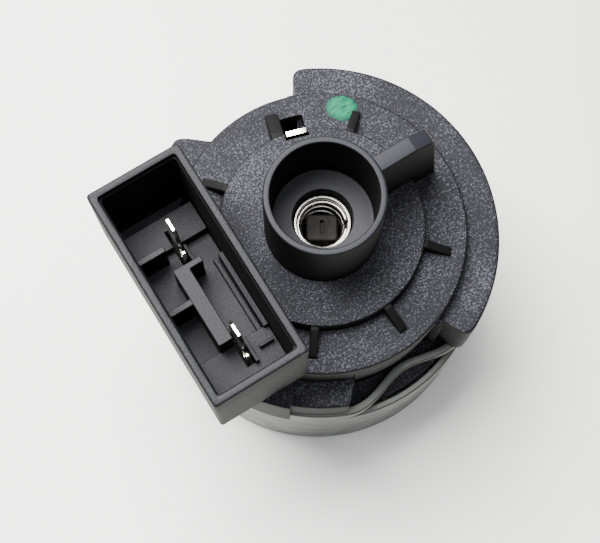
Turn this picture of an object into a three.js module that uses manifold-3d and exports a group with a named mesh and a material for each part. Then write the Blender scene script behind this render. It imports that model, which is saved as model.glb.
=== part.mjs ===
// Motor head of a heating diverter valve: a spring-return linear actuator.
// Millimetres, +Z up along the push rod. The origin is on the flat underside of
// the steel can, on the can's axis. The plug socket is on -X, its long side
// along Y, and the support arm of the valve collar points to +X.
import * as THREE from "three";
import { mergeVertices } from "three/addons/utils/BufferGeometryUtils.js";
import Module from "manifold-3d";

// ---------------------------------------------------------------- dimensions
const CAN_D = 45.0;            // outer diameter of the steel can
const CAN_H = 22.0;            // height of the can, rim to underside
const SHEET = 1.0;             // can sheet thickness
const CRIMP_IN = 2.8;          // how far each crimped strip is pressed inwards
const CRIMP_HALF = 27;         // half angle of a crimped strip, degrees
const CRIMP_STRIP = 2.4;       // height of the crimped strip
const SLIT = 0.3;              // slit under the strip

const FLANGE_H = 10.0;         // cover flange above the can rim
const BACK_H = 6.2;            // low shoulder beside the socket's -Y end, above the can rim
const OVERHANG = 0.6;          // how far the flange stands out past the can
const RING_H = 11.9;           // second tier above the can rim
const DISC_H = 14.2;           // centre disc above the can rim
const COLLAR_H = 26.8;         // collar and socket rims above the can rim
const RING_R = 18.7;           // second tier radius
const DISC_R = 13.1;           // centre disc radius
const COLLAR_D = 14.7;         // collar outside diameter
const COLLAR_WALL = 0.86;      // collar wall
const COLLAR_FLOOR = 17.1;     // collar floor above the can rim
const NOSE_BORE_R = 3.75;      // bore through the collar floor
const COVER_WALL = 1.6;        // moulded wall thickness

const SOCKET_X = 17.55;        // socket centre line from the axis, towards -X
const SOCKET_W = 12.5;         // socket outside width, along X
const SOCKET_L = 29.3;         // socket outside length, along Y
const SOCKET_WALL = 1.2;       // socket wall
const SOCKET_DEPTH = 14.3;     // inside depth under the rim
const PIN_PITCH = 15.0;        // distance between the two blades
const PIN_X = 16.9;            // blades' distance from the axis, towards -X
const PIN_W = 2.8;             // blade width
const PIN_T = 0.5;             // blade thickness
const PIN_BELOW = 3.9;         // blade tips below the socket rim

const ARM_T = 2.2;             // support arm thickness
const LATCH_W = 2.8;           // cover latch width
const LATCH_GAP = 0.4;         // window wider than the latch
const GUARD_T = 1.6;           // thickness of the rib beside the window
const GUSSET_T = 1.1;          // thickness of the small radial gussets
const PLATE_T = 0.8;           // pole plate thickness
const LEDGE_T = 0.9;           // cover ledge that the crimped strips hold down
const ROTOR_R = 8.5;           // magnet radius
const NUT_Z = 6.0;             // underside of the rotor's nut
const NUT_L = 6.2;             // nut length
const NUT_GRIP = 3.2;          // thread still in the nut at full stroke
const STROKE = 7.0;            // push rod stroke
const ROD_A = 4.1;             // push rod section, long side
const ROD_B = 3.6;             // push rod section, short side
const ROD_TURN = -32;          // turn of the rod section about the axis, degrees
const SCREW_R = 1.5;           // lead screw radius
const GUIDE_H = 3.5;           // guide plate height
const GUIDE_RIM = 0.6;         // rim that carries the board, above the guide plate
const PCB_T = 1.6;             // circuit board thickness
const BUSH_WALL = 0.45;        // wall of the front bush
const WIRE = 0.36;             // spring wire diameter
const SPRING_TURNS = 7;

// --------------------------------------------------------------- derived
const CAN_R = CAN_D / 2, CAN_IN = CAN_R - SHEET;
const Z_RIM = CAN_H;
const Z_FL = Z_RIM + FLANGE_H, Z_BACK = Z_RIM + BACK_H, Z_RING = Z_RIM + RING_H, Z_DISC = Z_RIM + DISC_H;
const Z_TOP = Z_RIM + COLLAR_H, Z_FLOOR = Z_RIM + COLLAR_FLOOR;
const COLLAR_R = COLLAR_D / 2, COLLAR_IN = COLLAR_R - COLLAR_WALL;
const FLANGE_R = CAN_R + OVERHANG, BACK_R = CAN_R - 0.4;
const SKIRT_R = CAN_IN - 0.2;
const RECESS_R = CAN_IN - CRIMP_IN - 0.6;     // cover wall behind a crimped strip
const G = 0.05;                // stacking gap
const FREE = 0.1;              // gap at a face that only locates
const Z_STRIP = CAN_H - CRIMP_STRIP;          // lower edge of the crimped strip
// the strips clamp the cover's ledge and the stator stack against the can's base
const BOBBIN_H = (Z_STRIP - LEDGE_T - 2 * FREE - SHEET - 4 * PLATE_T - 6 * G) / 2;
const Z_PA = SHEET + G;                       // lowest pole plate
const Z_BL = Z_PA + PLATE_T + G;              // lower bobbin
const Z_PB = Z_BL + BOBBIN_H + G;
const Z_PC = Z_PB + PLATE_T + G;
const Z_BU = Z_PC + PLATE_T + G;              // upper bobbin
const Z_PD = Z_BU + BOBBIN_H + G;             // top pole plate
const Z_STACK = Z_PD + PLATE_T;               // top of the stator stack
const Z_GUIDE = Z_STACK + G;                  // underside of the guide plate
const Z_GTOP = Z_GUIDE + GUIDE_H;             // top of the guide plate
const Z_TIP = Z_FLOOR - 4.1;                  // push rod tip, retracted
const Z_SNAP = Z_TIP + 0.75;                  // snap ring underside
const Z_SHOULDER = Z_GTOP + FREE;             // underside of the rod's shoulder
const SH_T = 1.0;
const SKT_XI = SOCKET_X - SOCKET_W / 2, SKT_XO = SOCKET_X + SOCKET_W / 2;
const SKT_Y = SOCKET_L / 2;
const Z_SKT_FLOOR = Z_TOP - SOCKET_DEPTH;
const Z_SKT_BASE = Math.min(Z_SKT_FLOOR - 1.5, Z_FL - FREE);   // the socket's block reaches into the flange
const Z_PCB = Z_GTOP + GUIDE_RIM + FREE;
const BUSH_R = NOSE_BORE_R - FREE, BUSH_IN = BUSH_R - BUSH_WALL;
const BOSS_R = NOSE_BORE_R + 1.75;
const SPRING_R = BUSH_IN - 0.4;               // spring mean radius
const LATCH_R = DISC_R - 0.65, LATCH_AT = 73;  // inner face and direction of the latch

// --------------------------------------------------------------- solids
const wasm = await Module();
wasm.setup();

function solid(geometry) {
  let g = geometry.clone();
  for (const a of Object.keys(g.attributes)) if (a !== "position") g.deleteAttribute(a);
  g = mergeVertices(g, 1e-5);
  const pos = new Float32Array(g.attributes.position.array);
  const idx = Array.from(g.index.array);
  const tri = [];
  for (let i = 0; i < idx.length; i += 3) {
    const [a, b, c] = [idx[i], idx[i + 1], idx[i + 2]];
    if (a !== b && b !== c && a !== c) tri.push(a, b, c);
  }
  const make = (t) => new wasm.Manifold(new wasm.Mesh({ numProp: 3, vertProperties: pos,
      triVerts: new Uint32Array(t) }));
  let m = make(tri);
  if (m.volume() < 0) {
    const f = [];
    for (let i = 0; i < tri.length; i += 3) f.push(tri[i], tri[i + 2], tri[i + 1]);
    m = make(f);
  }
  return m;
}
const join = (...s) => s.reduce((a, b) => a.add(b));
const cut = (a, ...s) => s.reduce((x, y) => x.subtract(y), a);

// ring or disc turned about Z from a closed (radius, height) outline
function turned(outline, seg = 48) {
  const pts = outline.map(([r, z]) => new THREE.Vector2(r, z));
  pts.push(pts[0].clone());
  const g = new THREE.LatheGeometry(pts, seg);
  g.rotateX(Math.PI / 2);
  return solid(g);
}
const tube = (r0, r1, z0, z1, seg = 48) => turned([[r0, z0], [r1, z0], [r1, z1], [r0, z1]], seg);
function disc(r, z0, z1, seg = 48) {
  const g = new THREE.CylinderGeometry(r, r, z1 - z0, seg);
  g.rotateX(Math.PI / 2);
  g.translate(0, 0, (z0 + z1) / 2);
  return solid(g);
}
function box(x0, x1, y0, y1, z0, z1) {
  const g = new THREE.BoxGeometry(x1 - x0, y1 - y0, z1 - z0);
  g.translate((x0 + x1) / 2, (y0 + y1) / 2, (z0 + z1) / 2);
  return solid(g);
}
// flat outline in XY, raised from z0 to z1
function raised(points, z0, z1, hole) {
  const s = new THREE.Shape(points.map(([x, y]) => new THREE.Vector2(x, y)));
  if (hole) s.holes.push(new THREE.Path(hole.map(([x, y]) => new THREE.Vector2(x, y))));
  const g = new THREE.ExtrudeGeometry(s, { depth: z1 - z0, bevelEnabled: false, curveSegments: 1 });
  g.translate(0, 0, z0);
  return solid(g);
}
// outline in a vertical plane through the axis (u outwards, z up), thick along v,
// turned to the angle deg about Z
function upright(points, thick, deg, shift = 0) {
  const s = new THREE.Shape(points.map(([u, z]) => new THREE.Vector2(u, z)));
  const g = new THREE.ExtrudeGeometry(s, { depth: thick, bevelEnabled: false, curveSegments: 1 });
  g.translate(0, 0, -thick / 2);
  g.rotateX(Math.PI / 2);
  g.translate(0, shift, 0);
  g.rotateZ(rad(deg));
  return solid(g);
}
function rad(d) { return d * Math.PI / 180; }
const polar = (r, d) => [r * Math.cos(rad(d)), r * Math.sin(rad(d))];
const arc = (r, d0, d1, n) => Array.from({ length: n + 1 }, (_, i) => polar(r, d0 + (d1 - d0) * i / n));
function sector(r0, r1, d0, d1, z0, z1, n = 16) {
  return raised([...arc(r1, d0, d1, n), ...arc(r0, d1, d0, n)], z0, z1);
}
function wedge(r, d0, d1, z0, z1, n = 12) {
  return raised([[0, 0], ...arc(r, d0, d1, n)], z0, z1);
}
function rounded(a, b, r, n = 3) {
  const c = [[a / 2 - r, b / 2 - r, 0], [-a / 2 + r, b / 2 - r, 90], [-a / 2 + r, -b / 2 + r, 180],
      [a / 2 - r, -b / 2 + r, 270]];
  return c.flatMap(([x, y, d]) => arc(r, d, d + 90, n).map(([u, v]) => [x + u, y + v]));
}
const spun = (pts, d) => pts.map(([x, y]) => [x * Math.cos(rad(d)) - y * Math.sin(rad(d)),
    x * Math.sin(rad(d)) + y * Math.cos(rad(d))]);

// --------------------------------------------------------------- materials
const paint = (color, roughness, metalness) => new THREE.MeshStandardMaterial({ color, roughness,
    metalness });
const ZINC = paint("#b4b5b3", 0.42, 1.0);
const NYLON = paint("#2f2f33", 0.62, 0.0);
const TIN = paint("#cfccc2", 0.3, 1.0);
const IRON = paint("#8c8d8c", 0.5, 1.0);
const BRASS = paint("#b89a55", 0.35, 1.0);
const COPPER = paint("#a4562c", 0.4, 0.8);
const FERRITE = paint("#3a3a3c", 0.75, 0.0);
const ACETAL = paint("#e4e1d6", 0.45, 0.0);
const BROWN = paint("#4a3c31", 0.5, 0.0);
const BOARD = paint("#8a7440", 0.55, 0.0);
const FILM = paint("#9a7b35", 0.4, 0.0);
const STEEL = paint("#d0cfcb", 0.25, 1.0);

const part = new THREE.Group();
const axis = new THREE.Group();          // everything on or about the actuator's axis
part.add(axis);
function add(name, m, material) {
  const out = m.getMesh();
  const g = new THREE.BufferGeometry();
  const n = out.numProp, v = new Float32Array(out.vertProperties.length / n * 3);
  for (let i = 0; i < v.length / 3; i++) {
    for (let k = 0; k < 3; k++) v[3 * i + k] = out.vertProperties[n * i + k];
  }
  g.setAttribute("position", new THREE.BufferAttribute(v, 3));
  g.setIndex(new THREE.BufferAttribute(new Uint32Array(out.triVerts), 1));
  g.computeVertexNormals();
  const mesh = new THREE.Mesh(g, material);
  mesh.name = name;
  axis.add(mesh);
  return mesh;
}

// --------------------------------------------------------------- steel can
// Deep-drawn cup. On +Y and -Y a strip of the rim is cut free by a slit and
// pressed inwards over the cover's ledge.
{
  const push = (d) => {
    let p = 0;
    for (const c of [90, 270]) {
      const t = Math.abs(d - c) / CRIMP_HALF;
      if (t < 1) p = CRIMP_IN * (0.5 + 0.5 * Math.cos(Math.PI * t));
    }
    return p;
  };
  const angles = [];
  for (let d = 0; d < 360;) {
    angles.push(d);
    d += Math.abs(d - 90) < 28.5 || Math.abs(d - 270) < 28.5 ? 3 : 7.5;
  }
  const rimOut = angles.map((d) => polar(CAN_R - push(d), d));
  const rimIn = angles.map((d) => polar(CAN_IN - push(d), d)).reverse();
  const rim = raised(rimOut, Z_STRIP, CAN_H, rimIn);
  const cup = turned([[0, 0], [CAN_R - 0.8, 0], [CAN_R - 0.2, 0.25], [CAN_R, 0.9], [CAN_R, Z_STRIP - SLIT],
      [CAN_IN, Z_STRIP - SLIT], [CAN_IN, SHEET], [0, SHEET]]);
  const web = (a, b) => sector(CAN_IN + 0.1, CAN_R - 0.1, a, b, Z_STRIP - SLIT - 0.2, Z_STRIP + 0.2, 16);
  add("motor_can", join(cup, rim, web(-90 + CRIMP_HALF, 90 - CRIMP_HALF),
      web(90 + CRIMP_HALF, 270 - CRIMP_HALF)), ZINC);
}

// --------------------------------------------------------------- end cover
// One black moulding: skirt inside the can, flange over the rim, two more
// tiers, the valve collar with its arm, six gussets and the plug socket.
{
  // outline in plan with a recess on +Y and -Y; a and b are where each recess
  // starts and ends, in degrees from the arm and from the socket side
  const plan = (rFront, rBack, rRecess, z0, z1, a, b) => raised([
    ...arc(rFront, -a - 2, a, 24),
    ...arc(rRecess, a + 6, b - 4, 6),
    ...arc(rBack, b, 360 - b, 28),
    ...arc(rRecess, 364 - b, 354 - a, 6),
  ], z0, z1);
  const skirtBase = Z_STACK + FREE;
  const ledge = disc(SKIRT_R, skirtBase, Z_STRIP - FREE);
  const skirt = plan(SKIRT_R, SKIRT_R, RECESS_R, Z_STRIP - 2 * FREE, Z_RIM + 0.05, 58, 122);
  const flange = sector(RING_R - 1, FLANGE_R, -67, 67, Z_RIM + 0.04, Z_FL, 26);
  const ear = sector(RING_R - 1, FLANGE_R, 112, 228, Z_RIM + 0.04, Z_FL, 24);
  const shoulder = sector(RING_R - 1, BACK_R, 227, 249, Z_RIM + 0.04, Z_BACK, 8);
  const ring = disc(RING_R, Z_RIM + 0.5, Z_RING, 60);
  const centre = disc(DISC_R, Z_RIM + 1, Z_DISC, 60);
  const collar = disc(COLLAR_R, Z_RIM + 1, Z_TOP, 48);
  const arm = upright([[COLLAR_R - 0.5, Z_RING - 0.5], [COLLAR_R - 0.5, Z_TOP - 0.5],
    [RING_R - 6.5, Z_TOP - 0.5], [RING_R - 4.0, Z_TOP - 1.4], [RING_R - 3.6, Z_TOP - 2.5],
    [RING_R - 2.0, Z_RING - 0.5]], ARM_T, 0, 0.1);
  const socket = box(-SKT_XO, -SKT_XI, -SKT_Y, SKT_Y, Z_SKT_BASE, Z_TOP);
  const rib = (deg, t, shift = 0) => upright([[DISC_R - 0.6, Z_RING - 0.5], [DISC_R - 0.6, Z_DISC - 0.25],
    [DISC_R + 0.3, Z_DISC - 0.3], [RING_R - 2.0, Z_RING + 0.55],
    [RING_R - 1.9, Z_RING - 0.5]], t, deg, shift);
  // stands beside the latch's window
  const guard = rib(LATCH_AT, GUARD_T, (LATCH_W + LATCH_GAP + GUARD_T) / 2);
  const gussets = [42, 126, -42, -84, -126].map((deg) => rib(deg, GUSSET_T));
  const moulding = join(ledge, skirt, flange, ear, shoulder, ring, centre, collar, arm, guard, ...gussets);
  // hollow underneath, around the inner boss
  const inside = SKIRT_R - COVER_WALL, recessed = RECESS_R - COVER_WALL;
  const overShoulder = sector(RING_R - COVER_WALL, CAN_R, 223, 262, Z_BACK - COVER_WALL, Z_FL);
  const roomA = cut(plan(inside, inside, recessed, skirtBase - 1, Z_FL - COVER_WALL, 56, 124),
      overShoulder);
  const behind = (a, b) => sector(recessed, RECESS_R + 4, a, b, Z_FL - 4, Z_FL - FREE);
  const roomB = cut(disc(RING_R - COVER_WALL, Z_FL - 3, Z_RING - COVER_WALL, 60), behind(66, 108),
      behind(252, 294));
  const roomC = disc(DISC_R - COVER_WALL, Z_FL - 3, Z_DISC - COVER_WALL, 48);
  const boss = disc(BOSS_R, Z_GTOP + FREE, Z_DISC, 40);
  const hollow = cut(join(roomA, roomB, roomC), boss);
  const bore = disc(NOSE_BORE_R, Z_RIM - 1.5, Z_FLOOR + 1, 40);
  const cup = disc(COLLAR_IN, Z_FLOOR, Z_TOP + 1, 48);
  const pocket = box(-SKT_XO + SOCKET_WALL, -SKT_XI - SOCKET_WALL, -SKT_Y + SOCKET_WALL,
      SKT_Y - SOCKET_WALL, Z_SKT_FLOOR, Z_TOP + 1);
  const window = upright([[LATCH_R - 0.45, Z_RING - 3], [LATCH_R + 3.45, Z_RING - 3],
    [LATCH_R + 3.45, Z_TOP], [LATCH_R - 0.45, Z_TOP]], LATCH_W + LATCH_GAP, LATCH_AT);
  const slot = (y) => box(-PIN_X - 0.55, -PIN_X + 0.55, y - 3.2, y + 1.7, Z_FL - 4, Z_SKT_FLOOR + 1);
  const shell = join(cut(moulding, hollow), socket);
  add("end_cover", cut(shell, bore, cup, pocket, window, slot(PIN_PITCH / 2), slot(-PIN_PITCH / 2)), NYLON);
}

// --------------------------------------------------------------- plug socket insert
// Terminal carrier: two platforms that hold the blades, a T-shaped divider and
// two cross ribs between them, and two low rails along the inner wall.
const PIN_Y = [PIN_PITCH / 2, -PIN_PITCH / 2];
{
  const x0 = -SKT_XO + SOCKET_WALL + 0.1, x1 = -SKT_XI - SOCKET_WALL - 0.1;
  const y0 = -SKT_Y + SOCKET_WALL + 0.1;
  const zb = Z_SKT_FLOOR + G, zp = zb + 2.7, zt = zb + 7.45;
  const [ya, yb] = PIN_Y;                     // the blades; everything between them goes by these
  const y1 = SKT_Y - 3.45;                    // the pocket beyond blade A is left open
  const base = box(x0, x1, y0, y1, zb, zb + 1.05);
  const p1 = box(x0, x1, ya - 0.5, y1, zb + 0.5, zp);
  const p2 = box(x0, x1, y0, yb + 0.1, zb + 0.5, zp);
  const stem = box(-PIN_X - 2.5, -PIN_X - 0.55, yb - 0.1, ya - 4.4, zb + 0.5, zt);
  const tee = box(-PIN_X - 2.4, -PIN_X + 1.3, ya - 5.1, ya - 4.3, zb + 0.5, zt);
  const ribA = box(x0, -PIN_X - 1.9, ya - 1.7, ya - 0.9, zb + 0.5, zt);
  const ribB = box(x0, -PIN_X - 1.7, -1.6, -0.8, zb + 0.5, zt);
  const railA = box(x1 - 1.5, x1 - 0.9, yb - 0.1, ya - 4.3, zb + 0.5, zb + 2.2);
  const railB = box(x1 - 0.7, x1, yb - 0.1, ya - 4.3, zb + 0.5, zb + 3.6);
  let c = join(base, p1, p2, stem, tee, ribA, ribB, railA, railB);
  for (const y of PIN_Y) c = cut(c, box(-PIN_X - 0.55, -PIN_X + 0.55, y - 3.2, y + 1.75, zb - 1, zt + 1));
  add("terminal_carrier", c, NYLON);
}

// --------------------------------------------------------------- blade terminals
// 2.8 x 0.5 blade with a chamfered tip, a side post and a solder tail.
{
  const zt = Z_TOP - PIN_BELOW, zs = Z_SKT_FLOOR + 0.9, zb = Z_PCB - 0.6;
  const blade = (name, y) => {
    const h = PIN_W / 2;
    const s = [[-0.75, zb], [0.75, zb], [0.75, zs - 3.5], [h, zs - 3.5], [h, zt - 0.8], [h - 0.55, zt],
        [-h + 0.55, zt], [-h, zt - 0.8],
      [-h, zs], [-h - 0.45, zs], [-h - 0.45, zs + 3.6], [-h - 0.7, zs + 3.85], [-h - 1.0, zs + 3.85],
          [-h - 1.25, zs + 3.6], [-h - 1.25, zs - 3.5], [-0.75, zs - 3.5]];
    const shape = new THREE.Shape(s.map(([u, v]) => new THREE.Vector2(u, v)));
    const g = new THREE.ExtrudeGeometry(shape, { depth: PIN_T, bevelEnabled: false });
    g.translate(0, 0, -PIN_T / 2);
    g.rotateX(Math.PI / 2);
    g.rotateZ(Math.PI / 2);
    g.translate(-PIN_X, y, 0);
    add(name, solid(g), TIN);
  };
  blade("terminal_blade_a", PIN_Y[0]);
  blade("terminal_blade_b", PIN_Y[1]);
}

// --------------------------------------------------------------- stator stack
// Four claw-pole plates, two bobbins and two coils. A notch on -X lets the
// coil leads pass up to the board.
const POLE_IN = ROTOR_R + 0.45;
const BOBBIN_R = CAN_IN - 1.2;
const LEAD_X = CAN_IN - 2.5;                  // coil leads' distance from the axis
const notch = () => box(-CAN_R - 5, -LEAD_X + 0.3, -3.6, 3.6, -1, Z_TOP);
function polePlate(name, z, claws, phase, notched) {
  let p = tube(POLE_IN, CAN_IN - 0.2, z, z + PLATE_T);
  for (let i = 0; i < 6; i++) {
    const d = phase + i * 60, h = BOBBIN_H - 1.1;
    const z0 = claws > 0 ? z + PLATE_T - 0.2 : z - h, z1 = claws > 0 ? z + PLATE_T + h : z + 0.2;
    const wide = claws > 0 ? z0 : z1, tip = claws > 0 ? z1 : z0;
    // tapering claw standing at the bore
    const s = new THREE.Shape([[-2.4, wide], [2.4, wide], [1.0, tip],
        [-1.0, tip]].map(([u, v]) => new THREE.Vector2(u, v)));
    const g = new THREE.ExtrudeGeometry(s, { depth: 0.8, bevelEnabled: false });
    g.rotateX(Math.PI / 2);
    g.rotateZ(Math.PI / 2);
    g.translate(POLE_IN + 0.1, 0, 0);
    g.rotateZ(rad(d));
    p = join(p, solid(g));
  }
  if (notched) p = cut(p, notch());
  add(name, p, IRON);
}
polePlate("pole_plate_bottom", Z_PA, 1, 0, false);
polePlate("pole_plate_mid_lower", Z_PB, -1, 30, true);
polePlate("pole_plate_mid_upper", Z_PC, 1, 15, true);
polePlate("pole_plate_top", Z_PD, -1, 45, true);
function bobbin(name, z) {
  const r0 = POLE_IN + 1.35, r1 = BOBBIN_R, w = 0.8;
  const b = turned([[r0, z], [r1, z], [r1, z + w], [r0 + w, z + w], [r0 + w, z + BOBBIN_H - w],
      [r1, z + BOBBIN_H - w], [r1, z + BOBBIN_H], [r0, z + BOBBIN_H]]);
  add(name, cut(b, notch()), ACETAL);
}
function coil(name, z) {
  const r0 = POLE_IN + 1.35 + 0.8 + 0.1, r1 = BOBBIN_R - 1.75;
  add(name, turned([[r0, z + 0.9], [r1 - 0.5, z + 0.9], [r1, z + 1.4], [r1, z + BOBBIN_H - 1.4],
      [r1 - 0.5, z + BOBBIN_H - 0.9], [r0, z + BOBBIN_H - 0.9]]), COPPER);
}
bobbin("bobbin_lower", Z_BL);
bobbin("bobbin_upper", Z_BU);
coil("coil_lower", Z_BL);
coil("coil_upper", Z_BU);
const Z_LEAD = BOBBIN_H / 2 - G * 2;          // where a lead leaves its coil, above the bobbin's underside
[[-0.8, Z_BL + Z_LEAD], [0.8, Z_BL + Z_LEAD], [-2.4, Z_BU + Z_LEAD],
    [2.4, Z_BU + Z_LEAD]].forEach(([y, z], i) => {
  const g = new THREE.CylinderGeometry(0.33, 0.33, Z_PCB - G - z, 8);
  g.rotateX(Math.PI / 2);
  g.translate(-LEAD_X, y, (Z_PCB - G + z) / 2);
  add(`coil_lead_${i + 1}`, solid(g), COPPER);
});

// --------------------------------------------------------------- rotor
const Z_NUT_T = NUT_Z + NUT_L, Z_MAG = SHEET + 2.2;
add("rear_bush", turned([[2.62, SHEET + G], [5.6, SHEET + G], [5.6, 1.5], [4.0, 1.5], [4.0, 2.6],
    [2.62, 2.6]], 32), BRASS);
add("thrust_washer", tube(2.65, 4.2, 2.65, 2.95, 32), STEEL);
add("rotor_hub", turned([[1.75, 1.2], [2.5, 1.2], [2.5, 3.0], [5.6, 3.0], [5.6, Z_STACK - 0.4],
    [4.2, Z_STACK - 0.4], [4.2, Z_STACK + 0.8], [3.0, Z_STACK + 0.8],
  [3.0, Z_NUT_T + 0.1], [4.0, Z_NUT_T + 0.1], [4.0, NUT_Z - 0.1], [1.75, NUT_Z - 0.1]], 32), ACETAL);
add("rotor_magnet", tube(5.7, ROTOR_R, Z_MAG, Z_STACK - 1.2, 48), FERRITE);
add("rotor_nut", tube(SCREW_R + 0.08, 3.9, NUT_Z, Z_NUT_T, 32), BRASS);
add("wave_washer", tube(4.35, 5.55, Z_STACK - 0.33, Z_STACK + 0.0, 32), STEEL);

// --------------------------------------------------------------- guide plate
// Upper bearing of the rotor, with the shaped hole that keeps the rod from turning.
{
  const r = POLE_IN + 1.55, zr = Z_GTOP + GUIDE_RIM;
  const p = turned([[0, Z_GUIDE], [r, Z_GUIDE], [r, zr], [r - 2.9, zr], [r - 2.9, Z_GTOP], [0, Z_GTOP]],
      40);
  const journal = disc(4.4, Z_GUIDE - 1, Z_GUIDE + 1.0, 32);
  const hole = raised(spun(rounded(ROD_A + 0.4, ROD_B + 0.4, 0.9), ROD_TURN), Z_GUIDE - 1, Z_GTOP + 1);
  add("guide_plate", cut(p, journal, hole), ACETAL);
}

// --------------------------------------------------------------- push rod and screw
const Z_SCREW = Z_NUT_T - NUT_GRIP - STROKE, Z_ROD = Z_NUT_T + 0.2;
{
  const rod = raised(spun(rounded(ROD_A, ROD_B, 0.8), ROD_TURN), Z_ROD, Z_TIP);
  const shoulder = disc(BUSH_IN - 0.25, Z_SHOULDER, Z_SHOULDER + SH_T, 32);
  const socket = disc(1.1, Z_ROD - 1, Z_ROD + 5.0, 16);
  const groove = raised(spun([[-0.27, -1.0], [0.27, -1.0], [0.27, 1.0], [-0.27, 1.0]], ROD_TURN),
      Z_TIP - 0.7, Z_TIP + 1);
  add("push_rod", cut(join(rod, shoulder), socket, groove), BROWN);
  const screw = turned([[0, Z_SCREW], [SCREW_R - 0.3, Z_SCREW], [SCREW_R, Z_SCREW + 0.3],
      [SCREW_R, Z_ROD - 0.1], [1.0, Z_ROD - 0.1], [1.0, Z_ROD + 4.6], [0, Z_ROD + 4.6]], 24);
  add("lead_screw", screw, STEEL);
}

// --------------------------------------------------------------- bush, snap ring, spring
const GROOVE_R = BUSH_IN + 0.22, SNAP_T = 0.6;
add("front_bush", turned([[BUSH_IN, Z_GTOP + G], [BUSH_R, Z_GTOP + G], [BUSH_R, Z_FLOOR - 1.9],
    [BUSH_IN, Z_FLOOR - 1.9],
  [BUSH_IN, Z_SNAP + SNAP_T + FREE], [GROOVE_R, Z_SNAP + SNAP_T + FREE], [GROOVE_R, Z_SNAP - FREE],
      [BUSH_IN, Z_SNAP - FREE]], 32), STEEL);
{
  const half = 12, mid = -30, ro = BUSH_IN + 0.15, ri = BUSH_IN - 0.45;
  const ring = raised([...arc(ro, mid + half, mid + 360 - half, 32),
      ...arc(ri, mid + 360 - half, mid + half, 32)], Z_SNAP, Z_SNAP + SNAP_T);
  add("snap_ring", ring, STEEL);
}
{
  // open coil spring with closed end turns, between the shoulder and the snap ring
  const z0 = Z_SHOULDER + SH_T + WIRE / 2 + 0.06, z1 = Z_SNAP - WIRE / 2 - 0.06, n = SPRING_TURNS;
  class Coil extends THREE.Curve {
    getPoint(t, target = new THREE.Vector3()) {
      const a = t * n * 2 * Math.PI + rad(-28);
      const s = Math.min(Math.max((t * n - 0.8) / (n - 1.6), 0), 1);
      const closed = (t * n < 0.8 ? t * n / 0.8 : t * n > n - 0.8 ? 1 + (t * n - n + 0.8) / 0.8 : 1) * 0.42;
      const z = z0 + closed + s * (z1 - z0 - 0.84);
      return target.set(SPRING_R * Math.cos(a), SPRING_R * Math.sin(a), z);
    }
  }
  const section = new THREE.Shape(arc(WIRE / 2, 0, 300, 5).map(([x, y]) => new THREE.Vector2(x, y)));
  const g = new THREE.ExtrudeGeometry(section, { steps: n * 13, extrudePath: new Coil(),
      bevelEnabled: false, curveSegments: 1 });
  add("return_spring", solid(g), STEEL);
}

// --------------------------------------------------------------- board and parts
{
  const narrow = RECESS_R - COVER_WALL - 0.3, wide = SKIRT_R - COVER_WALL - 0.4;
  const outer = [...arc(narrow, 98, 126, 6), ...arc(wide, 130, 230, 18), ...arc(narrow, 234, 262, 6)];
  let b = raised([...outer, ...arc(BOSS_R + 0.7, 262, 98, 12)], Z_PCB, Z_PCB + PCB_T);
  for (const y of PIN_Y) b = cut(b, box(-PIN_X - 0.5, -PIN_X + 0.5, y - 1.05, y + 1.05, Z_PCB - 1,
      Z_PCB + 3));
  add("circuit_board", b, BOARD);
  const zt = Z_PCB + PCB_T + G;
  // the capacitor fills the height under the roof
  const zc = Math.min(Z_RING - COVER_WALL, Z_SKT_BASE) - 0.9;
  add("run_capacitor", box(-BOSS_R - 7.9, -BOSS_R - 1.9, -6, 6, zt, zc), FILM);
  const res = new THREE.CylinderGeometry(1.15, 1.15, 6.0, 16);
  res.rotateZ(Math.PI / 2);
  res.translate(-10.5, 11.2, zt + 1.75);
  const foot = (x) => box(x - 0.35, x + 0.35, 10.85, 11.55, zt, zt + 1.75);
  add("bleed_resistor", join(solid(res), foot(-13.0), foot(-8.0)), ACETAL);
}

// --------------------------------------------------------------- cover latch
// Steel strip that stands on the top pole plate, passes up through the window
// beside the centre disc and hooks over the disc's notched edge.
{
  const z0 = Z_STACK + FREE, zt = Z_DISC + 0.1, t = 0.65;
  add("cover_latch", upright([[LATCH_R, z0], [LATCH_R + 3.6, z0], [LATCH_R + 3.6, z0 + t],
      [LATCH_R + t, z0 + t],
    [LATCH_R + t, zt], [LATCH_R, zt]], LATCH_W, LATCH_AT), TIN);
}

export default part;
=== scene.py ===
# %% [markdown]
# # The motor head of a heating diverter valve
# The head stands on its steel can. A black moulded cover closes the can and
# carries the valve collar, a support arm and the plug socket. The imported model
# gives the sizes and the moving bodies; the cells below make the surfaces that
# show, and their finishes.

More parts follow.
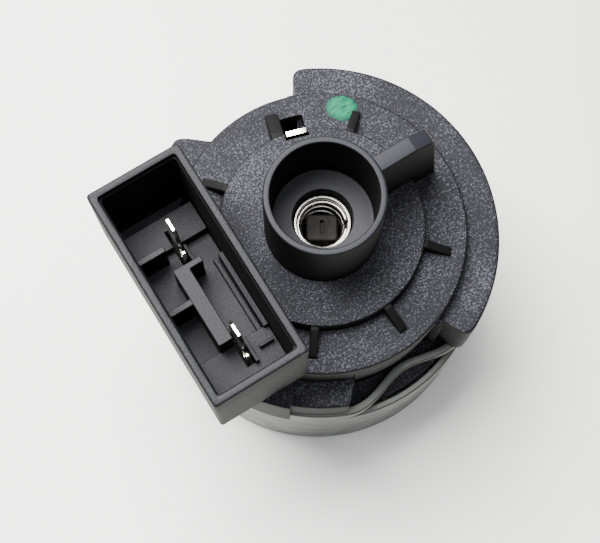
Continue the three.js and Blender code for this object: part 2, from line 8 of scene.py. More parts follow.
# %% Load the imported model
import bmesh
import bpy
import numpy as np
from mathutils import Matrix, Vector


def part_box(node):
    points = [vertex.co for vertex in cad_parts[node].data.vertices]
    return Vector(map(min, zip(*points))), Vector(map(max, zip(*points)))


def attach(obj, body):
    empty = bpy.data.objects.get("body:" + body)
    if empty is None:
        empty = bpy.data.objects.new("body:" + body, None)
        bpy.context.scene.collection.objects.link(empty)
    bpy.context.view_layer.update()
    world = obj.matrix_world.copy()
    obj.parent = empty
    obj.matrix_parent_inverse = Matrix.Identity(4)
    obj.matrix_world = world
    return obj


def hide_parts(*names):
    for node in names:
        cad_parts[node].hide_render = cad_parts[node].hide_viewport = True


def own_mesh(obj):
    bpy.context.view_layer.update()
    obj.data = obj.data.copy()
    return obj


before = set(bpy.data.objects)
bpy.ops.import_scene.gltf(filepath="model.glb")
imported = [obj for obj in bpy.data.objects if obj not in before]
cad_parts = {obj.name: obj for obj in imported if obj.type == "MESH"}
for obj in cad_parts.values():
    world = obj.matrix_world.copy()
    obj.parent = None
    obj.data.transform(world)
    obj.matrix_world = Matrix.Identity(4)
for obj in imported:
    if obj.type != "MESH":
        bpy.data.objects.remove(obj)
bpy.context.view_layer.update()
MM = 0.001                                   # the cells work in millimetres
can_lo, can_hi = (np.array(c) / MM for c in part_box("motor_can"))
cover_hi = np.array(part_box("end_cover")[1]) / MM
CAN_R, RIM, TOP = can_hi[0], can_hi[2], cover_hi[2]
print("can radius %.2f mm, can rim at %.2f mm, collar rim at %.2f mm" % (CAN_R, RIM, TOP))

# %% [markdown]
# ## Surfaces from whole arrays
# A moulded or pressed part is easy to describe as a section carried round an
# axis or along a path. One function turns a grid of points into faces, one
# rounds the corners of a section, and one makes the Blender object. They could
# be modifiers, but a section written as numbers keeps every radius true.

# %% Grids, rounded sections and the piece maker
def grid_faces(nu, nv, wrap_u=True, wrap_v=True, first=0):
    """Face (i, j) joins points (i, j), (i+1, j), (i+1, j+1), (i, j+1); an index past the end wraps to 0."""
    along = np.arange(nu if wrap_u else nu - 1)
    across = np.arange(nv if wrap_v else nv - 1)
    i, j = np.meshgrid(along, across, indexing="ij")
    i1, j1 = (i + 1) % nu, (j + 1) % nv
    return (np.stack([i * nv + j, i1 * nv + j, i1 * nv + j1, i * nv + j1], -1) + first).reshape(-1, 4)


def rounded(corners, steps=5, closed=True):
    """Each corner is (x, y, radius). The corner becomes an arc that starts radius / tan(half angle)
    before it and ends as far after it."""
    c = np.array(corners, float)
    p, r = c[:, :2], c[:, 2]
    a, b = np.roll(p, 1, 0) - p, np.roll(p, -1, 0) - p
    la, lb = np.linalg.norm(a, axis=1), np.linalg.norm(b, axis=1)
    a, b = a / la[:, None], b / lb[:, None]
    half = np.arccos(np.clip((a * b).sum(1), -1, 1)) / 2
    if not closed:
        r[0] = r[-1] = 0
    cut = np.minimum(r / np.tan(half), 0.48 * np.minimum(la, lb))
    r = cut * np.tan(half)
    mid = a + b
    mid /= np.maximum(np.linalg.norm(mid, axis=1), 1e-9)[:, None]
    centre = p + mid * (r / np.sin(half))[:, None]
    s, e = p + a * cut[:, None] - centre, p + b * cut[:, None] - centre
    t = np.linspace(0, 1, steps + 1)[None, :, None]
    way = s[:, None] * (1 - t) + e[:, None] * t
    way *= (r[:, None] / np.maximum(np.linalg.norm(way, axis=2), 1e-9))[:, :, None]
    out = centre[:, None] + way
    out = np.where((r < 1e-6)[:, None, None], p[:, None], out).reshape(-1, 2)
    keep = np.r_[True, np.linalg.norm(np.diff(out, axis=0), axis=1) > 1e-6]
    return out[keep]


def carried_round(section, turns):
    """Point (i, j) is section point j = (r, z) turned to angle i: (r cos a, r sin a, z)."""
    a, r, z = np.radians(turns)[:, None], section[None, :, 0], section[None, :, 1]
    return np.stack([r * np.cos(a), r * np.sin(a), z + 0 * a], -1)


def slab(outline, z0, z1, edge=0.15, steps=3):
    """A flat outline raised from z0 to z1. Near each end the outline shrinks by edge * (1 - sin t) while it
    climbs by edge * (1 - cos t), t from 0 to 90 degrees, so every edge is a quarter round."""
    o = np.array(outline, float)
    if (o[:, 0] * np.roll(o[:, 1], -1) - o[:, 1] * np.roll(o[:, 0], -1)).sum() < 0:
        o = o[::-1]
    a, b = o - np.roll(o, 1, 0), np.roll(o, -1, 0) - o
    na = np.c_[-a[:, 1], a[:, 0]] / np.linalg.norm(a, axis=1)[:, None]
    nb = np.c_[-b[:, 1], b[:, 0]] / np.linalg.norm(b, axis=1)[:, None]
    inward = (na + nb) / np.maximum(1 + (na * nb).sum(1), 0.35)[:, None]
    t = np.linspace(0, np.pi / 2, steps + 1)
    shrink = np.r_[edge * (1 - np.sin(t)), edge * (1 - np.sin(t))[::-1]]
    z = np.r_[z0 + edge * (1 - np.cos(t)), (z1 - edge * (1 - np.cos(t)))[::-1]]
    loops = o[None] + inward[None] * shrink[:, None, None]
    v = np.concatenate([loops, np.broadcast_to(z[:, None, None], loops.shape[:2] + (1,))], 2)
    n, m = len(z), len(o)
    faces = grid_faces(n, m, wrap_u=False).tolist()
    return v.reshape(-1, 3), faces + [list(range(m))[::-1], [(n - 1) * m + k for k in range(m)]]


def volume(v, faces):
    """Signed volume: the sum over fan triangles of a . (b x c) / 6."""
    tri = np.array([[g[0], g[k], g[k + 1]] for g in faces for k in range(1, len(g) - 1)])
    a, b, c = (v[tri[:, k]] for k in range(3))
    return (a * np.cross(b, c)).sum() / 6


def gather(*parts):
    """Several closed (points, faces) as one mesh, each with its faces outwards."""
    verts, faces, n = [], [], 0
    for v, f in parts:
        v = np.reshape(v, (-1, 3))
        f = f.tolist() if hasattr(f, "tolist") else list(f)
        step = 1 if volume(v, f) > 0 else -1
        verts.append(v)
        faces += [[n + k for k in g[::step]] for g in f]
        n += len(v)
    return np.concatenate(verts), faces


def solid_grid(points, wrap_u=True, wrap_v=True):
    """A closed grid as (points, faces)."""
    return points.reshape(-1, 3), grid_faces(points.shape[0], points.shape[1], wrap_u, wrap_v)


def turn(v, degrees, about="Z", move=(0, 0, 0)):
    """Points turned about an axis through the origin, then moved."""
    m = np.array(Matrix.Rotation(np.radians(degrees), 3, about))
    return np.reshape(v, (-1, 3)) @ m.T + np.array(move)


def upright(outline, thick, degrees, shift=0.0, edge=0.15):
    """A slab whose outline is (distance from the axis, height), standing in the plane at that angle."""
    v, f = slab(outline, -thick / 2, thick / 2, edge)
    v = np.c_[v[:, 0], -v[:, 2] + shift, v[:, 1]]
    return turn(v, degrees), f


SHARP = np.radians(38)                       # edges that turn by more than this are sharp


def piece(name, shape, body, stands_for=(), finish=None):
    """Makes the object with its faces outwards, joins points that coincide, marks edges over SHARP and
    lets it ride on a body."""
    v, f = gather(shape)
    me = bpy.data.meshes.new(name)
    me.from_pydata((v * MM).tolist(), [], f)
    bm = bmesh.new()
    bm.from_mesh(me)
    bmesh.ops.remove_doubles(bm, verts=bm.verts, dist=2e-7)
    bmesh.ops.dissolve_degenerate(bm, edges=bm.edges, dist=1e-7)
    bm.to_mesh(me)
    bm.free()
    me.shade_smooth()
    me.set_sharp_from_angle(angle=SHARP)
    ob = bpy.data.objects.new(name, me)
    bpy.context.collection.objects.link(ob)
    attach(ob, body)
    if stands_for:
        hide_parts(*([stands_for] if isinstance(stands_for, str) else stands_for))
    if finish:
        finish(ob)
    print("%-22s %6d points  %6d faces" % (name, len(me.vertices), len(me.polygons)))
    return ob


def ring_noise(a, seed, waves=9, rough=1.0):
    """A smooth irregular wave over an angle or a length: a sum of sines with fixed phases, between
    about -1 and 1."""
    rng = np.random.default_rng(seed)
    k = np.arange(1, waves + 1)
    amp, ph = 1 / k ** rough, rng.uniform(0, 2 * np.pi, waves)
    return (amp * np.sin(np.multiply.outer(a, k * 1.0) + ph)).sum(-1) / amp.sum() * 2


# %% [markdown]
# ## Camera, floor and light
# The head was looked at from almost straight above, a little from the socket's
# near end. The camera stands where the can's rim, the cover's steps and the
# collar's rim all line up with that view. The floor is a pale sheet whose colour
# carries painted shade, darker towards the view's right. The light is one soft
# window, up and to the left in the view, with a wide weak fill from high above.
# They leave a faint shadow on the lower right.

# %% Camera and light
CAMERA_AT = np.array([-27.68, -36.18, 193.71])
CAMERA_AXES = ((0.84893, 0.51068, -0.13611), (-0.52841, 0.82504, -0.20024), (0.01003, 0.24191, 0.97025))
cam_data = bpy.data.cameras.new("camera")
cam_data.sensor_width, cam_data.lens = 36.0, 78.0
cam_data.clip_start, cam_data.clip_end = 0.005, 10
cam = bpy.data.objects.new("camera", cam_data)
bpy.context.collection.objects.link(cam)
m = Matrix([list(r) + [p * MM] for r, p in zip(CAMERA_AXES, CAMERA_AT)] + [[0, 0, 0, 1]])
cam.matrix_world = m
bpy.context.scene.camera = cam

# the view's right and up on the floor
RIGHT, UP = np.array([0.849, -0.528, 0.0]), np.array([0.528, 0.849, 0.0])
HEAD_AT = np.array([0, 0, 0.03])             # the lights face this point, in metres


def window_light(name, right, up, high, size, power, colour=(1, 1, 1)):
    """A square soft light, placed on the floor plan along the view's right and up, facing the head."""
    data = bpy.data.lights.new(name, "AREA")
    data.shape, data.size, data.energy, data.color = "SQUARE", size, power, colour
    ob = bpy.data.objects.new(name, data)
    at = (RIGHT * right + UP * up) * MM + np.array([0, 0, high * MM])
    z = (at - HEAD_AT) / np.linalg.norm(at - HEAD_AT)
    x = np.cross([0, 0, 1.0], z)
    x /= np.linalg.norm(x)
    y = np.cross(z, x)
    ob.matrix_world = Matrix([list(r) for r in np.c_[x, y, z, at]] + [[0, 0, 0, 1]])
    bpy.context.collection.objects.link(ob)
    return ob


window_light("window", -130, 140, 400, 0.30, 10.0, (1.0, 0.995, 0.98))
window_light("ceiling", 60, -60, 800, 0.6, 4.0, (0.97, 0.985, 1.0))
world = bpy.data.worlds.new("room")
world.use_nodes = True
world.node_tree.nodes["Background"].inputs["Color"].default_value = (0.80, 0.82, 0.85, 1)
world.node_tree.nodes["Background"].inputs["Strength"].default_value = 0.22
bpy.context.scene.world = world
print("camera and two lights placed")

# %% [markdown]
# ## Finishes
# Every finish is a small set of nodes on the Principled shader. The pattern of
# each is tied to Object coordinates, which are metres in the head's own frame,
# so a grain of 0.25 mm is a scale of 1 / 0.00025.

# %% Node and colour helpers
def srgb(code):
    """A hex sRGB colour as linear RGBA."""
    c = np.array([int(code[i:i + 2], 16) for i in (1, 3, 5)]) / 255
    lin = np.where(c <= 0.04045, c / 12.92, ((c + 0.055) / 1.055) ** 2.4)
    return (*lin.tolist(), 1.0)


def add(tree, kind, inputs=None, **settings):
    """Adds a node, sets its properties, and fills its inputs: a socket is linked, anything else is set."""
    node = tree.nodes.new("ShaderNode" + kind)
    for key, value in settings.items():
        setattr(node, key, value)
    for key, value in (inputs or {}).items():
        if isinstance(value, bpy.types.NodeSocket):
            tree.links.new(value, node.inputs[key])
        else:
            node.inputs[key].default_value = value
    return node


def finish(name):
    """A new material with an empty Principled shader: (material, tree, shader)."""
    mat = bpy.data.materials.new(name)
    mat.use_nodes = True
    shader = mat.node_tree.nodes["Principled BSDF"]
    return mat, mat.node_tree, shader


def stops(node, *pairs):
    """Sets a colour ramp's stops to (position, grey)."""
    ramp = node.color_ramp
    while len(ramp.elements) < len(pairs):
        ramp.elements.new(1.0)
    for e, (p, g) in zip(ramp.elements, pairs):
        e.position, e.color = p, (g, g, g, 1)
    return node


def grain(mm):
    """Texture scale whose features are about that many millimetres wide."""
    return 1 / (mm * MM)


# %% [markdown]
# ### Glass-filled nylon
# The cover is black polyamide with glass fibre. Its flat faces copy a coarse
# spark-eroded mould; their grey flecks, up to a quarter of a millimetre across,
# are painted glints of light on that rough texture. Its drawn walls come out
# smooth, and their much darker colour is painted shade. A face attribute called
# spark says which is which, from how steeply each face stands.

# %% Glass-filled nylon, spark-eroded and smooth
def moulded_nylon(name, dark, fleck_glint, wall, amount=1.0, rough=0.60, grain_mm=0.15):
    """Nylon with grey flecks, painted glints, where spark is 1, and a much darker wall colour, painted shade,
    where it is 0. The flecks start where fine noise plus a slow drift of -0.11 to 0.11 passes 0.50, and are
    full at 0.74."""
    wall_rough = 0.68
    mat, t, s = finish(name)
    at = add(t, "TexCoord").outputs["Object"]
    spark = add(t, "Attribute", attribute_name="spark").outputs["Fac"]
    fine = add(t, "TexNoise", {"Vector": at, "Scale": grain(grain_mm * 1.6), "Detail": 3.0,
                               "Roughness": 0.62})
    broad = add(t, "TexNoise", {"Vector": at, "Scale": grain(7.0), "Detail": 2.0})
    drift = add(t, "Math", {0: broad.outputs["Fac"], 1: 0.22, 2: -0.11}, operation="MULTIPLY_ADD")
    lift = add(t, "Math", {0: fine.outputs["Fac"], 1: drift.outputs[0]}, operation="ADD")
    glint_speck = stops(add(t, "ValToRGB", {"Fac": lift.outputs[0]}), (0.50, 0.0), (0.74, 1.0))
    share = add(t, "Math", {0: glint_speck.outputs["Color"], 1: spark}, operation="MULTIPLY")
    share2 = add(t, "Math", {0: share.outputs[0], 1: amount}, operation="MULTIPLY")
    # painted shade: walls take the near-black wall colour, far darker than the eroded faces
    base = add(t, "Mix", {"Factor": spark, 6: srgb(wall), 7: srgb(dark)}, data_type="RGBA")
    # painted highlight: the grey flecks stand in for glints of light on the eroded texture
    colour = add(t, "Mix", {"Factor": share2.outputs[0], 6: base.outputs[2], 7: srgb(fleck_glint)},
                 data_type="RGBA")
    t.links.new(colour.outputs[2], s.inputs["Base Color"])
    rg = add(t, "Math", {0: spark, 1: rough - wall_rough, 2: wall_rough}, operation="MULTIPLY_ADD")
    t.links.new(rg.outputs[0], s.inputs["Roughness"])
    # the walls keep a faint orange-peel; the eroded faces are up to nineteen times deeper
    depth = add(t, "Math", {0: spark, 1: 0.9 * amount, 2: 0.05}, operation="MULTIPLY_ADD")
    bump = add(t, "Bump", {"Height": lift.outputs[0], "Strength": depth.outputs[0], "Distance": 0.00014})
    t.links.new(bump.outputs["Normal"], s.inputs["Normal"])
    s.inputs["IOR"].default_value = 1.4
    s.inputs["Specular IOR Level"].default_value = 0.25
    return mat


# in each finish the last colour is the walls' painted shade and the second the painted glints
NYLON = moulded_nylon("glass_filled_nylon_black", "#16161b", "#565660", "#010102")
NYLON_SMOOTH = moulded_nylon("glass_filled_nylon_smooth", "#1c1c22", "#2b2b31", "#010102",
                             amount=0.2, rough=0.5)
NYLON_SOCKET = moulded_nylon("glass_filled_nylon_socket", "#1b1b1f", "#343438", "#020203",
                             amount=0.5, rough=0.5)
print("nylon finishes ready")

# %% [markdown]
# ### Metals and the small parts
# The can is drawn sheet with a satin zinc plate, so it has fine lines along
# the draw and a soft, slightly cloudy shine. Tin plate on the blades is
# brighter. The wire parts are bright drawn steel.

# %% Metals
def plated(name, colour, low, high, cloud_mm=3.0, line_mm=0.12, draw=(1, 1, 0.05), depth=0.15, metallic=1.0):
    """Metal whose roughness drifts between low and high in clouds, with fine lines stretched along
    the draw."""
    mat, t, s = finish(name)
    at = add(t, "TexCoord").outputs["Object"]
    cloud = add(t, "TexNoise", {"Vector": at, "Scale": grain(cloud_mm), "Detail": 4.0})
    along = add(t, "Mapping", {"Vector": at, "Scale": draw})
    lines = add(t, "TexNoise", {"Vector": along.outputs[0], "Scale": grain(line_mm), "Detail": 2.0})
    rough = add(t, "MapRange", {"Value": cloud.outputs["Fac"], "From Min": 0.3, "From Max": 0.7,
                                "To Min": low, "To Max": high})
    t.links.new(rough.outputs[0], s.inputs["Roughness"])
    tint = np.array(srgb(colour))
    dull = tint * np.array([0.82, 0.82, 0.83, 1])
    c = add(t, "Mix", {"Factor": cloud.outputs["Fac"], 6: tuple(dull), 7: tuple(tint)}, data_type="RGBA")
    t.links.new(c.outputs[2], s.inputs["Base Color"])
    b = add(t, "Bump", {"Height": lines.outputs["Fac"], "Strength": depth, "Distance": 0.00002})
    t.links.new(b.outputs["Normal"], s.inputs["Normal"])
    s.inputs["Metallic"].default_value = metallic
    return mat


ZINC = plated("zinc_plate_satin", "#4f504e", 0.36, 0.50)
TIN = plated("tin_plate_bright", "#e2dfd6", 0.16, 0.30, cloud_mm=0.8)
WIRE_STEEL = plated("spring_wire_bright", "#a5a39d", 0.22, 0.36, cloud_mm=0.6)
BUSH_STEEL = plated("steel_bush_turned", "#8c8a85", 0.28, 0.42, cloud_mm=0.5, line_mm=0.08,
                    draw=(0.05, 0.05, 1))
IRON = plated("pole_iron_electroplated", "#8f8f8c", 0.40, 0.55)
BRASS = plated("brass_turned", "#c7a45a", 0.24, 0.36, cloud_mm=1.0)
print("metal finishes ready")

# %% [markdown]
# ### Plastics, copper, ferrite, board and paint
# These are mostly inside the head. Each still gets the grain of the real
# thing: wound wire for the coils, pressed powder for the magnet, milky acetal,
# and paper-filled board. The paint mark is thick and shows the brush.

# %% Other finishes
def cast_finish(name, colour, second, patch_mm, rough, bump_mm=0.15, depth=0.2, ior=1.5, shine=0.5,
                subsurface=0.0):
    """A non-metal whose colour drifts between two tones in patches, with a fine bump."""
    mat, t, s = finish(name)
    at = add(t, "TexCoord").outputs["Object"]
    patch = add(t, "TexNoise", {"Vector": at, "Scale": grain(patch_mm), "Detail": 5.0})
    fine = add(t, "TexNoise", {"Vector": at, "Scale": grain(bump_mm), "Detail": 2.0})
    grey = stops(add(t, "ValToRGB", {"Fac": patch.outputs["Fac"]}), (0.35, 0), (0.65, 1))
    c = add(t, "Mix", {"Factor": grey.outputs["Color"], 6: srgb(colour), 7: srgb(second)},
            data_type="RGBA")
    t.links.new(c.outputs[2], s.inputs["Base Color"])
    r = add(t, "MapRange", {"Value": patch.outputs["Fac"], "To Min": rough - 0.08, "To Max": rough + 0.08})
    t.links.new(r.outputs[0], s.inputs["Roughness"])
    b = add(t, "Bump", {"Height": fine.outputs["Fac"], "Strength": depth, "Distance": 0.00003})
    t.links.new(b.outputs["Normal"], s.inputs["Normal"])
    s.inputs["IOR"].default_value = ior
    s.inputs["Specular IOR Level"].default_value = shine
    s.inputs["Subsurface Weight"].default_value = subsurface
    return mat


def wound_copper(name, wire_mm=0.22):
    """Enamelled wire wound in layers: a sine across the height, one wave for each turn, makes the ridges and
    paints the wire dark in their grooves and bright on their crests, as painted shade and highlight.
    """
    mat, t, s = finish(name)
    at = add(t, "TexCoord").outputs["Object"]
    z = add(t, "SeparateXYZ", {0: at}).outputs["Z"]
    wob = add(t, "TexNoise", {"Vector": at, "Scale": grain(2.5), "Detail": 1.0})
    ph = add(t, "Math", {0: z, 1: 2 * np.pi / (wire_mm * MM), 2: 0.0}, operation="MULTIPLY_ADD")
    ph2 = add(t, "Math", {0: wob.outputs["Fac"], 1: 3.0, 2: ph.outputs[0]}, operation="MULTIPLY_ADD")
    wave = add(t, "Math", {0: ph2.outputs[0]}, operation="SINE")
    painted_crest_light = add(t, "MapRange", {"Value": wave.outputs[0], "From Min": -1.0, "From Max": 1.0})
    # painted shade and highlight: the colour follows the ridges' wave, dark in the grooves, bright on the
    # crests
    c = add(t, "Mix", {"Factor": painted_crest_light.outputs[0], 6: srgb("#5e2410"), 7: srgb("#b8622f")}, data_type="RGBA")
    t.links.new(c.outputs[2], s.inputs["Base Color"])
    b = add(t, "Bump", {"Height": wave.outputs[0], "Strength": 0.5, "Distance": 0.00006})
    t.links.new(b.outputs["Normal"], s.inputs["Normal"])
    s.inputs["Metallic"].default_value, s.inputs["Roughness"].default_value = 0.7, 0.35
    return mat


def brushed_paint(name):
    """Thick turquoise marking paint, darker where it is thin at its edge, with brush ridges."""
    mat, t, s = finish(name)
    at = add(t, "TexCoord").outputs["Object"]
    thin = add(t, "Attribute", attribute_name="thin").outputs["Fac"]
    stroke = add(t, "Mapping", {"Vector": at, "Rotation": (0, 0, np.radians(20)), "Scale": (0.35, 1, 1)})
    n = add(t, "TexNoise", {"Vector": stroke.outputs[0], "Scale": grain(0.35), "Detail": 4.0,
                            "Roughness": 0.6})
    grey = stops(add(t, "ValToRGB", {"Fac": n.outputs["Fac"]}), (0.35, 0), (0.68, 1))
    c1 = add(t, "Mix", {"Factor": grey.outputs["Color"], 6: srgb("#003d2c"), 7: srgb("#006f50")},
             data_type="RGBA")
    c2 = add(t, "Mix", {"Factor": thin, 6: c1.outputs[2], 7: srgb("#02382b")}, data_type="RGBA")
    t.links.new(c2.outputs[2], s.inputs["Base Color"])
    b = add(t, "Bump", {"Height": n.outputs["Fac"], "Strength": 0.6, "Distance": 0.0001})
    t.links.new(b.outputs["Normal"], s.inputs["Normal"])
    s.inputs["Roughness"].default_value = 0.6
    s.inputs["Specular IOR Level"].default_value = 0.15
    return mat


ACETAL = cast_finish("acetal_natural", "#e6e2d6", "#dbd6c8", 6.0, 0.40, subsurface=0.08)
FERRITE = cast_finish("ferrite_pressed", "#37373a", "#46464a", 0.5, 0.68, bump_mm=0.10, depth=0.5)
BROWN = cast_finish("phenolic_brown", "#120d0a", "#0a0706", 1.2, 0.6, bump_mm=0.12, depth=0.25, shine=0.15)
BOARD = cast_finish("paper_phenolic_board", "#9a7c42", "#84692f", 1.5, 0.5)
FILM = cast_finish("epoxy_dip_ochre", "#a8812f", "#96712a", 5.0, 0.28, bump_mm=0.6)
COPPER = wound_copper("enamelled_copper_wire")
PAINT = brushed_paint("marking_paint_turquoise")
print("other finishes ready")


def coat(mat, spark=None):
    """A finish to give a piece. spark(normals) gives the share of eroded texture on each face."""
    def give(ob):
        ob.data.materials.clear()
        ob.data.materials.append(mat)
        if spark is not None:
            me = ob.data
            nrm = np.zeros(len(me.polygons) * 3)
            me.polygons.foreach_get("normal", nrm)
            share = np.ascontiguousarray(spark(nrm.reshape(-1, 3)), dtype=np.float32)
            me.attributes.new("spark", "FLOAT", "FACE").data.foreach_set("value", share)
    return give


def flat_faces(nrm):
    """Share of eroded texture: (|normal z| - 0.75) / 0.2, kept between 0 and 1, so 1 on flat faces and 0
    on walls."""
    return np.clip((np.abs(nrm[:, 2]) - 0.75) / 0.2, 0, 1)


# %% [markdown]
# ## The steel can
# The can is a deep-drawn cup of 1 mm sheet. On +Y and -Y a slit frees a strip
# of the rim, and the strip is pressed inwards in a smooth wave, which clamps
# the cover. A lathe profile can't do that, so the section is carried round the
# axis while the height of its wall changes with the angle; the two strips are
# closed bands that follow the same wave.

# %% Can with its two crimped strips
SHEET, SLIT = 1.0, 0.3
STRIP_LOW = RIM - 2.4                        # lower edge of a crimped strip
CRIMPS = ((90.0, 26.5), (-87.0, 25.0))       # middle and half angle of each strip, degrees
CRIMP_IN, FOLD = 2.85, 1.3                    # press, and width of the strip's rolled top
WALL_MID = 10.0                               # above this height the wall's points follow the slit


def near_crimp(a):
    """1 where the angle lies inside a crimped strip, otherwise 0; and the inward press, which is
    CRIMP_IN * (0.5 + 0.5 cos(pi t)) at share t of the strip's half angle."""
    inside, press = np.zeros_like(a), np.zeros_like(a)
    for mid, half in CRIMPS:
        t = np.abs((a - mid + 180) % 360 - 180) / half
        inside = np.where(t < 1, 1.0, inside)
        press = np.where(t < 1, CRIMP_IN * (0.5 + 0.5 * np.cos(np.pi * np.minimum(t, 1))), press)
    return inside, press


def can_cup():
    """Section j at angle i: a rounded cup section whose top is RIM, or STRIP_LOW - SLIT under a strip."""
    steps = np.arange(0, 360, 1.5)
    ends = np.concatenate([[mid - half + d, mid + half + d] for mid, half in CRIMPS for d in (-0.02, 0.02)])
    a = np.unique(np.r_[steps, ends % 360])
    inner, outer = CAN_R - SHEET, CAN_R
    wall = rounded([(0.02, 0.12, 0), (7.6, 0.12, 0.3), (8.0, 0, 0.3), (outer, 0, 1.1),
                    (outer, WALL_MID, 0), (outer, RIM, 0.25), (inner, RIM, 0.25), (inner, WALL_MID, 0),
                    (inner, SHEET, 1.0), (0.02, SHEET, 0)], 5)
    inside, _ = near_crimp((a + 180) % 360 - 180)
    pts = carried_round(wall, a)
    low = STRIP_LOW - SLIT
    z = pts[:, :, 2]
    lowered = WALL_MID + (z - WALL_MID) * (low - WALL_MID) / (RIM - WALL_MID)
    pts[:, :, 2] = np.where((z > WALL_MID) & (inside[:, None] > 0), lowered, z)
    return solid_grid(pts)


def crimped_strip(mid, half):
    """A rounded section, FOLD wide and 2.4 mm high, carried from one end of the slit to the other and
    moved in by the press."""
    a = np.linspace(mid - half, mid + half, 91)
    _, press = near_crimp((a + 180) % 360 - 180)
    press[[0, -1]] = 0
    sec = rounded([(0, STRIP_LOW, 0.2), (0, RIM, 0.25), (-FOLD, RIM, 0.25), (-FOLD, STRIP_LOW, 0.2)], 4)
    r = (CAN_R - press)[:, None] + sec[None, :, 0]
    # the drawn edge isn't quite level where it was stretched
    z = sec[None, :, 1] - 0.10 * (press / CRIMP_IN)[:, None] * (sec[None, :, 1] > RIM - 0.6)
    rad = np.radians(a)[:, None]
    pts = np.stack([r * np.cos(rad), r * np.sin(rad), z + 0 * rad], -1)
    n, m = pts.shape[:2]
    ends = [list(range(m)), [(n - 1) * m + k for k in range(m)][::-1]]
    return pts.reshape(-1, 3), grid_faces(n, m, wrap_u=False).tolist() + ends


can_parts = gather(can_cup(), *(crimped_strip(*c) for c in CRIMPS))
can = piece("can_shell", can_parts, "housing", "motor_can", coat(ZINC))

# %% [markdown]
# ## The stepped cover
# The cover is one moulding with a flange on the can's rim, a second step and a
# centre disc. From above it is round steps whose outer edge changes with the
# angle: it swells over the rim at the front and draws back over each crimped
# strip. So it is a section turned round the axis, stretched at each angle to
# reach that edge.

# %% Cover steps
FLANGE_TOP, RING_TOP, DISC_TOP = RIM + 10.0, RIM + 11.9, RIM + 14.2
SHOULDER_TOP = RIM + 6.2                      # the low part beside the socket's near end
RING_R, DISC_R = 18.7, 13.1
FRONT_R, SHOULDER_R = CAN_R + 0.6, CAN_R - 0.4
THICK, START_R = 1.6, 7.0                     # moulded wall, and where the steps start inside the collar
FLANGE_END, LUG_END = 68.0, 71.5              # ends of the front flange and of the step beside it
EAR_FROM = 105.0                              # the flange starts to swell again here
LOW_FROM, LOW_TO = -109.0, -132.0             # the low part beside the socket's near end
LATCH_AT, LATCH_R = 73.0, 12.45
WINDOW = (LATCH_R - 0.4, LATCH_R + 3.4)       # the latch window from the axis, and half its width
WINDOW_HALF, WINDOW_TURN = 1.55, 7.5
LEDGE_TOP = STRIP_LOW - 0.1


def cover_edge(a):
    """Outer radius at each angle: FRONT_R up to FLANGE_END, with 1.5 mm corners and a small step beside
    them; RING_R behind the strips; FRONT_R again 10 degrees past EAR_FROM, and SHOULDER_R 4 degrees past
    LOW_FROM, both reached by the slope s * s * (3 - 2 s)."""
    r = np.full_like(a, RING_R)
    r = np.where((np.abs(a) > FLANGE_END) & (np.abs(a) < LUG_END), RING_R + 0.8, r)
    t = (FLANGE_END - np.abs(a)) * np.pi / 180 * FRONT_R
    corner = 1.5 - np.sqrt(np.maximum(1.5 ** 2 - (1.5 - np.clip(t, 0, 1.5)) ** 2, 0))
    r = np.where(t > 0, FRONT_R - corner, r)
    s = np.clip((a - EAR_FROM) / 10, 0, 1)
    r = np.where(a > EAR_FROM, RING_R + (FRONT_R - RING_R) * s * s * (3 - 2 * s), r)
    s = np.clip((LOW_FROM - a) / 4, 0, 1)
    r = np.where(a < LOW_FROM, RING_R + 0.6 + (SHOULDER_R - RING_R - 0.6) * s * s * (3 - 2 * s), r)
    return np.where(a < LOW_TO, FRONT_R, r)


